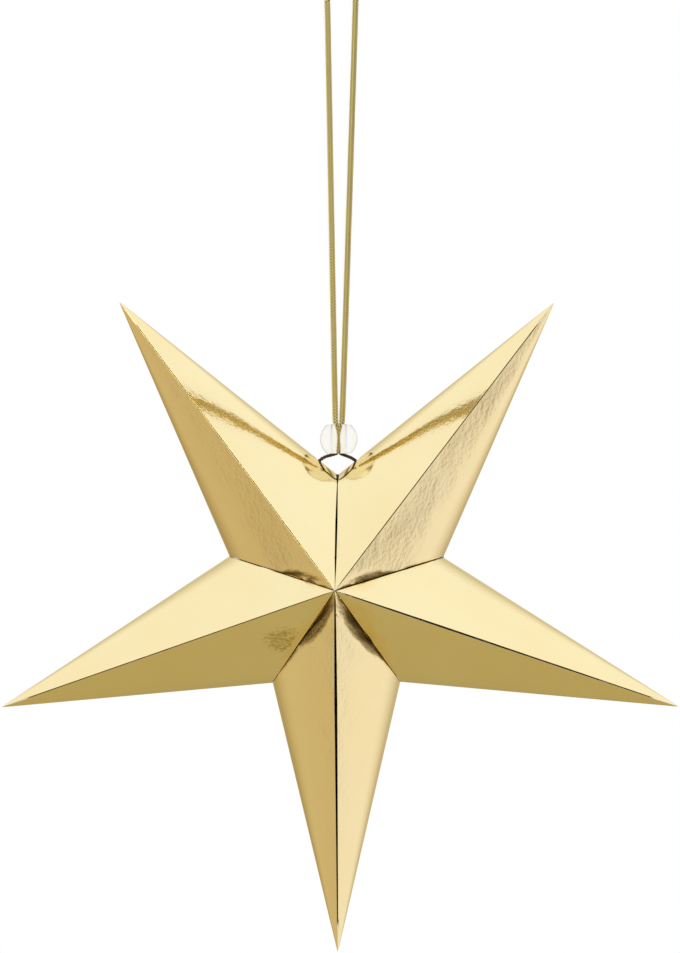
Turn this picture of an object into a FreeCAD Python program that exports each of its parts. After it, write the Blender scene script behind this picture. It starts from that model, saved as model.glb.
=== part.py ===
import FreeCAD, Part
import math
import os
from FreeCAD import Vector

# Five-pointed hanging star, folded from foil card. Millimetres, +Z up, front faces -Y.
# The origin is where a hook bears, inside the top of the cord's loop.

# The star's outline from its centre, a little uneven as handwork is: degrees clockwise
# from the top as seen from the front, and distance
TOP_RIGHT_TIP = (36.8, 158.7)
RIGHT_TIP = (108.6, 157.6)
BOTTOM_TIP = (180.0, 157.8)
LEFT_TIP = (251.1, 156.1)
TOP_LEFT_TIP = (323.0, 159.7)
RIGHT_NOTCH = (71.9, 48.8)
LOWER_RIGHT_NOTCH = (145.2, 48.1)
LOWER_LEFT_NOTCH = (215.6, 49.1)
LEFT_NOTCH = (288.2, 50.1)
TOP_NOTCH_RADIUS = 51.9     # the notch under the bead, where the two leaves aren't glued
TOP_OPENING = 1.5           # degrees left open between them
HALF_DEPTH = 52.0           # centre to the front peak, and to the back one
DROP = 272.0                # the hook to the star's centre

# The card and its folds
CARD = 0.35                 # thickness of the foil card
BEND_RADIUS = 5.0           # of the rounded outer fold at its notch end, tightening to the tip
TIP_BLUNT = 0.5             # how much of each sharp tip is missing
TAB_REACH = 4.5             # how deep the glue tabs reach in from the faces
TAB_CLEAR_OF_AXIS = 5.0     # the tabs are clipped short of the middle
TAB_CLEAR_OF_BEND = 7.0     # and each side of the rounded fold

# Seams that spring open a little between the tip and the middle
BOTTOM_RIDGE_OPENING = 0.9
RIGHT_RIDGE_OPENING = 0.5
RIDGE_OPENING_PLACE = 48.0  # distance from the centre where the gap is widest
OPENING_AT_CENTRE = 0.3     # share of the widest gap that is left at the middle

# The cord, its knots and its holes
CORD_DIAMETER = 2.6
HOLE_PLACE = 8.4            # each hole's distance sideways from the star's middle
HOLE_CLEARANCE = 0.5        # round the cord
KNOT_DIAMETER = 5.8
KNOT_LENGTH = 6.0           # of the knot's barrel
KNOT_TAIL = 4.0             # cord end that sticks out of each knot

# The bead
BEAD_DIAMETER = 16.5
BEAD_HEIGHT = 12.8
BEAD_PLACE = 68.2           # its centre above the star's centre
BEAD_SIDEWAYS = 0.15
BORE_CLEARANCE = 0.5        # between the bore and the two cords side by side
BEAD_LIP = 0.8              # how far the bore widens at its mouths

# What the cord passes, from the left knot through the bead and the loop to the right knot:
# (x, y, z) from the star's centre, so that the two cords make half a turn in the bore
CORD_ROUTE = [
    (-9.03, 0.0, 57.32), (-7.05, 0.0, 59.85), (-3.04, 0.0, 60.20), (-1.35, 0.0, 61.90),
    (-0.91, 1.06, 65.33), (0.15, 1.50, 68.76), (1.21, 1.06, 72.19), (1.65, 0.0, 75.62),
    (8.05, 0.0, 269.50), (4.27, 0.0, 273.30), (-1.07, 0.0, 273.30), (-4.85, 0.0, 269.50),
    (-1.35, 0.0, 75.62), (-0.91, -1.06, 72.19), (0.15, -1.50, 68.76), (1.21, -1.06, 65.33),
    (1.65, 0.0, 61.90), (3.34, 0.0, 60.20), (7.05, 0.0, 59.85), (9.03, 0.0, 57.32),
]

ARC_SHARE = 0.45            # of the shorter run beside a bend, which the tube's arc takes up

# Derived values
TOP_NOTCH_RIGHT = (TOP_OPENING / 2, TOP_NOTCH_RADIUS)
TOP_NOTCH_LEFT = (360.0 - TOP_OPENING / 2, TOP_NOTCH_RADIUS)
FAR = 2.0 * TOP_LEFT_TIP[1]     # past everything, for cutting shapes
STAR_CENTRE = Vector(0, 0, -DROP)
Y_AXIS = Vector(0, 1, 0)


def turned(vector, degrees):
    """The vector turned about the Y axis, clockwise as seen from the front."""
    return FreeCAD.Rotation(Y_AXIS, degrees).multVec(vector)


def prism(points, front=-FAR, back=FAR):
    """A polygon in the XZ plane, given by its vectors, drawn out along Y."""
    corners = [Vector(p.x, front, p.z) for p in points]
    face = Part.Face(Part.makePolygon(corners + corners[:1]))
    return face.extrude(Vector(0, back - front, 0))


class Fold:
    """The outer fold of a leaf: two flat sides that meet in a cone with its point at the tip.

    The leaf stands with its valley edge at +Z and its ridge edge leaf_angle clockwise of it.
    """

    def __init__(self, leaf_angle, tip_radius, notch_radius):
        self.tip = turned(Vector(0, 0, tip_radius + TIP_BLUNT), leaf_angle)
        notch = Vector(0, 0, notch_radius)
        self.line = (notch - self.tip).normalize()
        self.inward = self.line.cross(Y_AXIS)
        if self.inward.dot(self.tip) > 0:
            self.inward = -self.inward
        reach = (notch - self.tip).Length
        self.half_angle = math.atan(BEND_RADIUS / reach)
        self.axis = self.line * math.cos(self.half_angle) + self.inward * math.sin(self.half_angle)
        self.out = self.line * math.sin(self.half_angle) - self.inward * math.cos(self.half_angle)
        self.side_angle = self.solve_side_angle()
        self.solid = self.rounded_wedge()

    def solve_side_angle(self):
        """How far round the cone the flat front side leaves it, so that it meets the peak."""
        to_peak = Vector(0, -HALF_DEPTH, 0) - self.tip
        along, across, down = to_peak.dot(self.axis), -to_peak.dot(self.out), -to_peak.y
        lift = math.tan(self.half_angle) * along / math.hypot(across, down)
        return math.atan2(across, down) + math.asin(lift)

    def around(self, angle):
        """The direction on the cone's surface at this angle from its outer line."""
        radial = self.out * math.cos(angle) - Y_AXIS * math.sin(angle)
        return self.axis * math.cos(self.half_angle) + radial * math.sin(self.half_angle)

    def rounded_wedge(self):
        front, back = self.around(self.side_angle), self.around(-self.side_angle)
        chord = (front + back).normalize()
        chord_out = chord.cross(Y_AXIS)
        if chord_out.dot(self.out) < 0:
            chord_out = -chord_out
        outside = prism([self.tip - chord * FAR, self.tip + chord * FAR,
                         self.tip + chord * FAR + chord_out * FAR,
                         self.tip - chord * FAR + chord_out * FAR])
        cone = Part.makeCone(0, FAR * math.tan(self.half_angle), FAR, self.tip, self.axis)
        return self.sharp_wedge().cut(outside).fuse(cone.common(outside))

    def sharp_wedge(self):
        """Everything between the planes of the two flat sides."""
        radial = self.out * math.cos(self.side_angle) - Y_AXIS * math.sin(self.side_angle)
        normal = radial * math.cos(self.half_angle) - self.axis * math.sin(self.half_angle)
        mirrored = Vector(normal.x, -normal.y, normal.z)
        edge = normal.cross(mirrored).normalize()
        start = self.tip - edge * FAR
        sides = []
        for side in (normal, mirrored):
            flat = side.cross(edge).normalize()
            if flat.dot(self.inward) < 0:
                flat = -flat
            sides.append(start + flat * FAR)
        face = Part.Face(Part.makePolygon([start, sides[0], sides[1], start]))
        return face.extrude(edge * 2 * FAR)

    def inside(self, depth):
        """The same fold moved in by a depth, measured square to the card."""
        moved = self.solid.copy()
        moved.translate(self.axis * (depth / math.sin(self.half_angle)))
        return moved


def ridge_line(leaf_angle, tip_radius, opening):
    """The leaf's ridge edge from the middle to the tip, with half of a seam's opening."""
    along = turned(Vector(0, 0, 1), leaf_angle)
    into = turned(Vector(-1, 0, 0), leaf_angle)
    at_centre = opening / 2 * OPENING_AT_CENTRE
    start = Vector(0, 0, at_centre / math.sin(math.radians(leaf_angle)))
    middle = along * RIDGE_OPENING_PLACE + into * (opening / 2)
    end = along * tip_radius
    return [start, middle, end], into


def make_leaf(leaf_angle, tip_radius, notch_radius, ridge_opening=0.0, top_seam=False):
    """One folded card leaf, half of one arm: its two faces, its rounded fold and its glue tabs."""
    fold = Fold(leaf_angle, tip_radius, notch_radius)
    ridge, into = ridge_line(leaf_angle, tip_radius, ridge_opening)
    outer = [ridge[-1] + into * tip_radius, Vector(0, 0, FAR)]
    sheet = fold.solid.cut(fold.inside(CARD)).common(prism(ridge + outer))

    tab_band = fold.solid.cut(fold.inside(TAB_REACH))
    tab_room = prism(ridge + outer)
    middle = Part.makeCylinder(TAB_CLEAR_OF_AXIS, 2 * FAR, Vector(0, -FAR, 0), Y_AXIS)
    ridge_slab = prism(ridge + [p + into * CARD for p in reversed(ridge)])
    tabs = [tab_band.common(ridge_slab).common(tab_room).cut(middle)]
    if not top_seam:
        slab = [Vector(0, 0, 0), Vector(CARD, 0, 0), Vector(CARD, 0, FAR), Vector(0, 0, FAR)]
        for front, back in ((-FAR, -TAB_CLEAR_OF_BEND), (TAB_CLEAR_OF_BEND, FAR)):
            tabs.append(tab_band.common(prism(slab, front, back)).cut(middle))
    leaf = sheet.multiFuse(tabs).removeSplitter()

    if top_seam:
        centre, out = hole_place(fold, notch_radius)
        radius = CORD_DIAMETER / 2 + HOLE_CLEARANCE
        start = centre + out * BEND_RADIUS
        leaf = leaf.cut(Part.makeCylinder(radius, 2 * BEND_RADIUS, start, -out))
    return leaf.Solids[0]


def hole_place(fold, notch_radius):
    """Where a cord hole's centre lies on the fold's outer line of an unturned leaf, and its way out."""
    sideways = turned(Vector(1, 0, 0), -TOP_OPENING / 2)
    notch = Vector(0, 0, notch_radius)
    along = (HOLE_PLACE - notch.dot(sideways)) / fold.line.dot(sideways)
    return notch + fold.line * along, -fold.inward


def place_leaf(leaf, valley_angle, ridge_is_clockwise):
    """Turns an unturned leaf to its valley and moves it to the star's centre."""
    placed = leaf.copy()
    if not ridge_is_clockwise:
        placed = placed.mirror(Vector(0, 0, 0), Vector(1, 0, 0))
    placed.rotate(Vector(0, 0, 0), Y_AXIS, valley_angle)
    placed.translate(STAR_CENTRE)
    return placed


def make_leaves():
    """The ten leaves, clockwise from the top notch, each between its notch and its tip."""
    places = {
        "top_right_arm_inner_leaf": (TOP_NOTCH_RIGHT, TOP_RIGHT_TIP, 0.0),
        "top_right_arm_outer_leaf": (RIGHT_NOTCH, TOP_RIGHT_TIP, 0.0),
        "right_arm_upper_leaf": (RIGHT_NOTCH, RIGHT_TIP, RIGHT_RIDGE_OPENING),
        "right_arm_lower_leaf": (LOWER_RIGHT_NOTCH, RIGHT_TIP, RIGHT_RIDGE_OPENING),
        "bottom_arm_right_leaf": (LOWER_RIGHT_NOTCH, BOTTOM_TIP, BOTTOM_RIDGE_OPENING),
        "bottom_arm_left_leaf": (LOWER_LEFT_NOTCH, BOTTOM_TIP, BOTTOM_RIDGE_OPENING),
        "left_arm_lower_leaf": (LOWER_LEFT_NOTCH, LEFT_TIP, 0.0),
        "left_arm_upper_leaf": (LEFT_NOTCH, LEFT_TIP, 0.0),
        "top_left_arm_outer_leaf": (LEFT_NOTCH, TOP_LEFT_TIP, 0.0),
        "top_left_arm_inner_leaf": (TOP_NOTCH_LEFT, TOP_LEFT_TIP, 0.0),
    }
    leaves = {}
    for name, (notch, tip, opening) in places.items():
        top_seam = notch in (TOP_NOTCH_RIGHT, TOP_NOTCH_LEFT)
        leaf = make_leaf(abs(tip[0] - notch[0]), tip[1], notch[1], opening, top_seam)
        leaves[name] = place_leaf(leaf, notch[0], tip[0] > notch[0])
    return leaves


def make_cord():
    """A tube along the route: straight runs joined by arcs as large as the two runs allow."""
    points = [Vector(*p) + STAR_CENTRE for p in CORD_ROUTE]
    pieces, radii, length, at = [], [], 0.0, points[0]
    for before, point, after in zip(points, points[1:], points[2:]):
        came, goes = point - before, after - point
        half_turn = came.getAngle(goes) / 2
        cut = ARC_SHARE * min(came.Length, goes.Length)
        radii.append(cut / math.tan(half_turn))
        start = point - came.normalize() * cut
        axis = came.cross(goes).normalize()
        centre = start + axis.cross(came) * radii[-1]
        pieces.append(cord_section(at, came).extrude(start - at))
        pieces.append(cord_section(start, came).revolve(centre, axis, math.degrees(2 * half_turn)))
        length += (start - at).Length + radii[-1] * 2 * half_turn
        at = point + goes.normalize() * cut
    pieces.append(cord_section(at, points[-1] - at).extrude(points[-1] - at))
    length += (points[-1] - at).Length
    cord = pieces[0].multiFuse(pieces[1:]).Solids[0]
    expected = math.pi * CORD_DIAMETER ** 2 / 4 * length
    print("cord length %.1f mm, volume %.1f of %.1f mm3" % (length, cord.Volume, expected))
    print("cord radii " + " ".join("%.1f" % r for r in radii))
    return cord


def cord_section(place, way):
    return Part.Face(Part.Wire(Part.makeCircle(CORD_DIAMETER / 2, place, way)))


def revolved(outline):
    """A solid from a closed outline of edges in the XZ plane, turned round the Z axis."""
    return Part.Face(Part.Wire(outline)).revolve(Vector(0, 0, 0), Vector(0, 0, 1), 360)


def line(start, end):
    return Part.LineSegment(Vector(start[0], 0, start[1]), Vector(end[0], 0, end[1])).toShape()


def make_knot(end, inside):
    """A barrel knot behind a hole, with a flat where the cord enters and the cord's short tail."""
    radius, cord_radius = KNOT_DIAMETER / 2, CORD_DIAMETER / 2
    slope = radius - cord_radius
    corners = [(0, 0), (cord_radius, 0), (radius, slope), (radius, KNOT_LENGTH - slope),
               (cord_radius, KNOT_LENGTH), (cord_radius, KNOT_LENGTH + KNOT_TAIL),
               (0, KNOT_LENGTH + KNOT_TAIL)]
    knot = revolved([line(a, b) for a, b in zip(corners, corners[1:] + corners[:1])])
    knot.Placement = FreeCAD.Placement(end, FreeCAD.Rotation(Vector(0, 0, 1), end - inside))
    return knot


def make_bead():
    """A clear bead: a ball with flattened ends and a bore for both cords, opened at its lips."""
    bore, half = CORD_DIAMETER + BORE_CLEARANCE, BEAD_HEIGHT / 2
    ball = BEAD_DIAMETER / 2
    flat = math.sqrt(ball ** 2 - half ** 2)
    lip = bore + BEAD_LIP
    side = Part.Arc(Vector(flat, 0, half), Vector(ball, 0, 0), Vector(flat, 0, -half)).toShape()
    bead = revolved([line((bore, BEAD_LIP - half), (bore, half - BEAD_LIP)),
                     line((bore, half - BEAD_LIP), (lip, half)), line((lip, half), (flat, half)),
                     side, line((flat, -half), (lip, -half)),
                     line((lip, -half), (bore, BEAD_LIP - half))])
    bead.translate(STAR_CENTRE + Vector(BEAD_SIDEWAYS, 0, BEAD_PLACE))
    return bead


def main():
    parts = make_leaves()
    parts["hanging_cord"] = make_cord()
    route = [Vector(*p) + STAR_CENTRE for p in CORD_ROUTE]
    parts["cord_knot_left"] = make_knot(route[0], route[1])
    parts["cord_knot_right"] = make_knot(route[-1], route[-2])
    parts["bead"] = make_bead()
    os.makedirs("parts", exist_ok=True)
    for name, shape in parts.items():
        shape.exportStep("parts/%s.step" % name)
        print("%-26s %-8s volume %9.1f solids %d valid %s"
              % (name, shape.ShapeType, shape.Volume, len(shape.Solids), shape.isValid()))


main()
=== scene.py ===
# %% [markdown]
# # A hanging star folded from foil card
#
# The star is ten folded leaves of mirror-gold card, two to each arm. It hangs on a loop of
# braided gold cord, and a clear bead pulls the cord's two halves together above the top notch.
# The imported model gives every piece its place, and these cells give each one its looks.

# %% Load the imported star
import bmesh
import bpy
import math
import numpy as np
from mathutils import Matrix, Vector, noise


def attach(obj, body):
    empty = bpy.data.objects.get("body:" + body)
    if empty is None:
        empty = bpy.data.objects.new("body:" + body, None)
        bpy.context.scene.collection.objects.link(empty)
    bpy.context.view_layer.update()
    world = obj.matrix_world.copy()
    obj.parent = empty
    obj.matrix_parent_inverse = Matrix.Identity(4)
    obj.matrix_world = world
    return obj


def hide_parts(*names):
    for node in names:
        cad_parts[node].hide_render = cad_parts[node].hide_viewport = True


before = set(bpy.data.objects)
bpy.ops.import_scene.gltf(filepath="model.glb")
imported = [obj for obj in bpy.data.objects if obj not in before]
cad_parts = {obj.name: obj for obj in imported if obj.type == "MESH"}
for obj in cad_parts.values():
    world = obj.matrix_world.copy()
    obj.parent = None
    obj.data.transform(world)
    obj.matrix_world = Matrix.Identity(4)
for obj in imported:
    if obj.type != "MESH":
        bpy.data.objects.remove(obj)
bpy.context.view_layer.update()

# %% [markdown]
# ## The camera
#
# The photo looks at the star almost square on, from a little to its right and a little below:
# the front peak appears a few pixels to the left of and above the middle of the five tips. A long
# lens from three metres away keeps the arms free of the stretching that a short lens gives.

# %% Place the camera
MM = 0.001
STAR_CENTRE = Vector((0.0, 0.0, -0.272))
FRONT = Vector((0.0, -1.0, 0.0))
CAMERA_DISTANCE = 3.0
CAMERA_TO_THE_RIGHT = math.radians(1.354)
CAMERA_LOOKS_UP = math.radians(1.518)
AIM = STAR_CENTRE + Vector((0.98, 0.0, 50.68)) * MM
FRAME_HEIGHT = 0.4187       # of the photo, at the star

sight = Vector((-math.sin(CAMERA_TO_THE_RIGHT) * math.cos(CAMERA_LOOKS_UP),
                math.cos(CAMERA_TO_THE_RIGHT) * math.cos(CAMERA_LOOKS_UP),
                math.sin(CAMERA_LOOKS_UP)))
bpy.ops.object.camera_add(location=AIM - sight * CAMERA_DISTANCE,
                          rotation=sight.to_track_quat("-Z", "Y").to_euler())
camera = bpy.context.object
camera.name = "photo_camera"
camera.data.sensor_width = 36.0
camera.data.lens = 36.0 * CAMERA_DISTANCE / FRAME_HEIGHT
bpy.context.scene.camera = camera
print("camera at", camera.location, "lens", round(camera.data.lens, 1), "mm")

# %% [markdown]
# ## The cord's line
#
# The cord starts at its knot inside the left leaf, comes out beside the top notch, runs up
# through the bead, round the loop over the hook, and back down into the right leaf. A NURBS curve
# draws such a line from few control points, and it stays smooth wherever it bends. One more point
# near each end of the two long halves keeps them straight, as a hanging weight pulls them. Inside
# the bead the two halves lie close together, one in front of the other.

# %% Lay the cord's line
CORD_SPACING, KNOT_SPACING = 0.0004, 0.0003     # between the rings of the braid
CORD_ROUTE = [
    (-8.95, 0.0, 56.50), (-7.20, 0.0, 58.95), (-1.90, 0.0, 60.35), (-0.15, 0.0, 60.80),
    (-0.05, 0.60, 63.50), (0.20, 0.85, 66.60), (0.75, 0.70, 70.40), (1.80, 0.0, 73.60),
    (2.10, 0.0, 78.20), (7.74, 0.0, 253.90),
    (8.05, 0.0, 269.50), (4.27, 0.0, 273.30), (-1.07, 0.0, 273.30), (-4.85, 0.0, 269.50),
    (-4.45, 0.0, 253.90), (-1.20, 0.0, 78.20),
    (-0.95, 0.0, 73.60), (0.15, -0.70, 70.40), (0.50, -0.85, 66.60), (0.75, -0.60, 63.50),
    (0.80, 0.0, 60.80), (2.40, 0.0, 60.25), (7.30, 0.0, 58.45), (9.10, 0.0, 56.20),
]


def smooth_line(points, fineness):
    """Draws one NURBS spline through the pull of its control points, and reads points along it."""
    curve = bpy.data.curves.new("line", "CURVE")
    curve.dimensions = "3D"
    spline = curve.splines.new("NURBS")
    spline.points.add(len(points) - 1)
    for control, place in zip(spline.points, points):
        control.co = (*place, 1.0)
    spline.order_u = 3
    spline.use_endpoint_u = True
    spline.resolution_u = fineness
    holder = bpy.data.objects.new("line", curve)
    bpy.context.collection.objects.link(holder)
    drawn = bpy.data.meshes.new_from_object(holder)
    line = [point.co.copy() for point in drawn.vertices]
    bpy.data.objects.remove(holder)
    bpy.data.meshes.remove(drawn)
    return line


def evenly(line, spacing):
    """Points along the line at even steps, as a numpy array."""
    line = np.array([list(p) for p in line])
    run = np.concatenate([[0.0], np.cumsum(np.linalg.norm(np.diff(line, axis=0), axis=1))])
    steps = np.linspace(0.0, run[-1], max(2, round(run[-1] / spacing)) + 1)
    return np.stack([np.interp(steps, run, line[:, k]) for k in range(3)], axis=1)


route = [Vector(p) * MM + STAR_CENTRE for p in CORD_ROUTE]
cord_line = evenly(smooth_line(route, 40), CORD_SPACING)
print("cord line of", len(cord_line), "points,",
      round(float(np.linalg.norm(np.diff(cord_line, axis=0), axis=1).sum()), 4), "m long")

# %% [markdown]
# ## The braid
#
# The cord is a round braid of eight flat bundles of metallic thread: four wind one way, four the
# other, and each goes over two and under two. The chevrons that this gives can be seen in the
# photo. A picture of a braid would look flat at its edges, so each bundle is modelled as a
# flattened tube that winds round the cord's line and rises and dips where it crosses the others.
# A thin core fills the middle, so that nothing behind the cord shows between them; its near-black
# colour is painted shade.

# %% Plait bundles of thread round a line
BUNDLES_EACH_WAY = 4
CHEVRON = 0.00135           # from one crossing bundle to the next of the same family
RIM = 6                     # points round each bundle
# Shares of the braid's thickness: a bundle's half width and half depth, how far out its middle
# lies and how far it rises and dips, and the core's radius.
BUNDLE_HALF_WIDTH, BUNDLE_HALF_DEPTH = 0.095, 0.085
BUNDLE_MIDDLE, BUNDLE_SWAY, CORE = 0.31, 0.09, 0.22


def frames_along(line):
    """For each point of a line, its direction and two directions square to it that don't twist."""
    along = np.gradient(line, axis=0)
    along /= np.linalg.norm(along, axis=1, keepdims=True)
    side = np.cross(along[0], [0.0, 1.0, 0.0])
    sides = []
    for way in along:
        side = side - way * side.dot(way)
        side /= np.linalg.norm(side)
        sides.append(side)
    sides = np.array(sides)
    return along, sides, np.cross(along, sides)


def mesh_piece(name, corners, faces, **layers):
    """A mesh object from corner places, faces of corner numbers, and its named UV layers."""
    mesh = bpy.data.meshes.new(name)
    mesh.from_pydata([tuple(c) for c in corners], [], faces)
    numbers = np.empty(len(mesh.loops), dtype=np.int64)
    mesh.loops.foreach_get("vertex_index", numbers)
    for layer_name, uvs in layers.items():
        layer = mesh.uv_layers.new(name=layer_name)
        layer.data.foreach_set("uv", np.asarray(uvs, dtype=np.float32)[numbers].ravel())
    mesh.validate()
    piece = bpy.data.objects.new(name, mesh)
    bpy.context.collection.objects.link(piece)
    return piece


def plait(name, line, thickness, chevron=CHEVRON):
    """A round braid of flat bundles that follows a line of even steps, with a core inside it."""
    thickness = thickness * np.ones(len(line))
    along, side, up = frames_along(line)
    run = np.concatenate([[0.0], np.cumsum(np.linalg.norm(np.diff(line, axis=0), axis=1))])
    lead = chevron * BUNDLES_EACH_WAY
    flat, deep = BUNDLE_HALF_WIDTH * thickness, BUNDLE_HALF_DEPTH * thickness
    middle, sway = BUNDLE_MIDDLE * thickness, BUNDLE_SWAY * thickness
    corners, faces, uvs, heights = [], [], [], []

    def add_tube(rings, number, rise):
        """Adds one closed tube. The rise is how high it rides over the others, from -1 to 1."""
        first = len(corners)
        for i, ring in enumerate(rings):
            for j, corner in enumerate(ring):
                corners.append(corner)
                uvs.append((run[i] * 1000.0, number + j / RIM))
                heights.append((0.5 + 0.5 * rise[i], 0.0))
        for i in range(len(rings) - 1):
            for j in range(RIM):
                a, b = first + i * RIM + j, first + i * RIM + (j + 1) % RIM
                faces.append((a, b, b + RIM, a + RIM))
        faces.append(tuple(range(first + RIM - 1, first - 1, -1)))
        faces.append(tuple(first + (len(rings) - 1) * RIM + j for j in range(RIM)))

    def oval_rings(middles, ways, other_ways, widths, depths):
        """One oval ring of corners round each middle."""
        rim = 2 * math.pi * np.arange(RIM) / RIM
        return [m + np.outer(np.cos(rim) * w, way) + np.outer(np.sin(rim) * d, other)
                for m, way, other, w, d in zip(middles, ways, other_ways, widths, depths)]

    for family in (1, -1):
        for number in range(BUNDLES_EACH_WAY):
            turn = family * 2 * math.pi * run / lead + 2 * math.pi * number / BUNDLES_EACH_WAY
            rise = family * np.cos(2 * turn - math.pi / 4)
            out = side * np.cos(turn)[:, None] + up * np.sin(turn)[:, None]
            about = -side * np.sin(turn)[:, None] + up * np.cos(turn)[:, None]
            centre = line + out * (middle + sway * rise)[:, None]
            way = about * (family * 2 * math.pi * middle)[:, None] + along * lead
            way /= np.linalg.norm(way, axis=1, keepdims=True)
            wide = np.cross(out, way)
            add_tube(oval_rings(centre, wide, out, flat, deep), number, rise)
    bundle_faces = len(faces)
    core = CORE * thickness
    add_tube(oval_rings(line, side, up, core, core), 0, -np.ones(len(line)))
    piece = mesh_piece(name, corners, faces, thread=uvs, height=heights)
    piece.data.polygons.foreach_set(
        "material_index", [0 if number < bundle_faces else 1 for number in range(len(faces))])
    piece.data.shade_smooth()
    return piece


# How thick the braid is over its crests, by height above the star's centre: thin where it is
# threaded through the leaves and squeezed by the bead, and tight again round the hook.
BRAID_THICKNESS = [(0.055, 0.0019), (0.0605, 0.0017), (0.063, 0.0014), (0.069, 0.0015),
                   (0.074, 0.0030), (0.078, 0.0032), (0.262, 0.0032), (0.270, 0.0025)]
cord = plait("braided_cord", cord_line,
             np.interp(cord_line[:, 2] - STAR_CENTRE.z, *zip(*BRAID_THICKNESS)))
print("cord of", len(cord.data.polygons), "faces")

# %% [markdown]
# ## The knots
#
# Each end of the cord is tied inside the star, behind the hole that it goes through, so that the
# star's weight pulls the knot against the card. It is a barrel knot: three tight turns and a short
# tail. The same braid follows a small helix here, with its bundles drawn thinner.

# %% Tie the two knots
KNOT_TURNS = 3
KNOT_LENGTH = 0.0058
KNOT_RADIUS = 0.00185
KNOT_TAIL = 0.0036
KNOT_BRAID, KNOT_CHEVRON = 0.0019, 0.0011
KNOT_MARGIN = 0.0011        # of straight cord before and after the turns
POINTS_A_TURN = 8


def tie_knot(name, end, before):
    """A barrel knot that starts at the cord's end and goes on in the cord's direction."""
    way = (end - before).normalized()
    side = way.orthogonal().normalized()
    up = way.cross(side)
    points = []
    steps = KNOT_TURNS * POINTS_A_TURN
    for step in range(steps + 1):
        turn = 2 * math.pi * step / POINTS_A_TURN
        along = KNOT_MARGIN + (KNOT_LENGTH - 2 * KNOT_MARGIN) * step / steps
        round_way = side * math.cos(turn) + up * math.sin(turn)
        points.append(end + way * along + round_way * KNOT_RADIUS)
    points.append(end + way * (KNOT_LENGTH + 0.0004) + side * KNOT_RADIUS * 0.3)
    points.append(end + way * (KNOT_LENGTH + KNOT_TAIL))
    return plait(name, evenly(smooth_line(points, 12), KNOT_SPACING), KNOT_BRAID, KNOT_CHEVRON)


left_knot = tie_knot("barrel_knot_left", route[0], route[1])
right_knot = tie_knot("barrel_knot_right", route[-1], route[-2])
print("knots of", len(left_knot.data.polygons), "faces each")

# %% [markdown]
# ## Gold thread
#
# Metallic thread is thin gold film wound round a yellow core. Light gets into it and scatters, so
# it is only partly a metal, with a soft shine. Where a bundle dips under the others its colour is
# painted near-black, a painted shade, and the gaps between the bundles show the core, whose
# near-black colour is painted shade too; this gives the rows of dark dots that the photo shows.
# The pattern reads the bundles' own UV maps, one along the thread and one for how high it rides,
# so that it follows them round every bend. Below the bead the thread's colour is painted dark
# brown, a painted shade.

# %% Make the gold thread


def new_finish(name):
    """A new material, its tree of nodes and its shader."""
    finish = bpy.data.materials.new(name)
    finish.use_nodes = True
    tree = finish.node_tree
    shader = next(node for node in tree.nodes if node.type == "BSDF_PRINCIPLED")
    return finish, tree, shader


def add_node(tree, kind, values=None, **links):
    """Adds a node, sets its numbers, and joins its named inputs to other nodes' outputs."""
    node = tree.nodes.new(kind)
    for key, value in (values or {}).items():
        if key in node.inputs:
            node.inputs[key].default_value = value
        else:
            setattr(node, key, value)
    for key, source in links.items():
        tree.links.new(source, node.inputs[key.replace("_", " ")])
    return node


def two_tones(tree, factor, dark, light):
    """A colour that goes from one tone, at a factor of 0.3, to another, at 0.7."""
    node = add_node(tree, "ShaderNodeValToRGB", Fac=factor)
    for end, place, tone in zip(node.color_ramp.elements, (0.3, 0.7), (dark, light)):
        end.position, end.color = place, (*tone, 1.0)
    return node.outputs["Color"]


def noise_pattern(tree, where, scale, detail, roughness=0.5):
    """A cloudy pattern of this scale, from 0 to 1."""
    return add_node(tree, "ShaderNodeTexNoise",
                    {"Scale": scale, "Detail": detail, "Roughness": roughness},
                    Vector=where).outputs["Fac"]


def add_bump(tree, height, strength, distance, under=None):
    """Shallow bumps of this height, on top of other bumps."""
    bump = add_node(tree, "ShaderNodeBump", {"Strength": strength, "Distance": distance},
                    Height=height)
    if under:
        tree.links.new(under, bump.inputs["Normal"])
    return bump.outputs["Normal"]


def between(tree, value, low, high):
    """0 where the value is low, 1 where it is high, and even in between."""
    return add_node(tree, "ShaderNodeMapRange", {"From Min": low, "From Max": high},
                    Value=value).outputs["Result"]


def feed(tree, node, place, value):
    """Gives one input of a node a value, or joins it to another node's output."""
    if isinstance(value, bpy.types.NodeSocket):
        tree.links.new(value, node.inputs[place])
    else:
        node.inputs[place].default_value = value


def blend(tree, kind, one, two, factor=1.0):
    """Blends two colours, each one a tone or another node's output."""
    node = add_node(tree, "ShaderNodeMix", {"data_type": "RGBA", "blend_type": kind})
    feed(tree, node, 0, factor)
    for tone, place in ((one, 6), (two, 7)):
        feed(tree, node, place, (*tone, 1.0) if isinstance(tone, tuple) else tone)
    return node.outputs[2]


def compute(tree, operation, one, two, kind="ShaderNodeMath"):
    """The outcome of an operation on two values or other nodes' outputs."""
    node = add_node(tree, kind, {"operation": operation})
    feed(tree, node, 0, one)
    feed(tree, node, 1, two)
    return next(outcome for outcome in node.outputs if outcome.enabled)


def coat(tree, shader, **values):
    """Gives the shader's inputs their values, or joins them to other nodes' outputs."""
    for name, value in values.items():
        feed(tree, shader, name.replace("_", " "), value)


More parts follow.
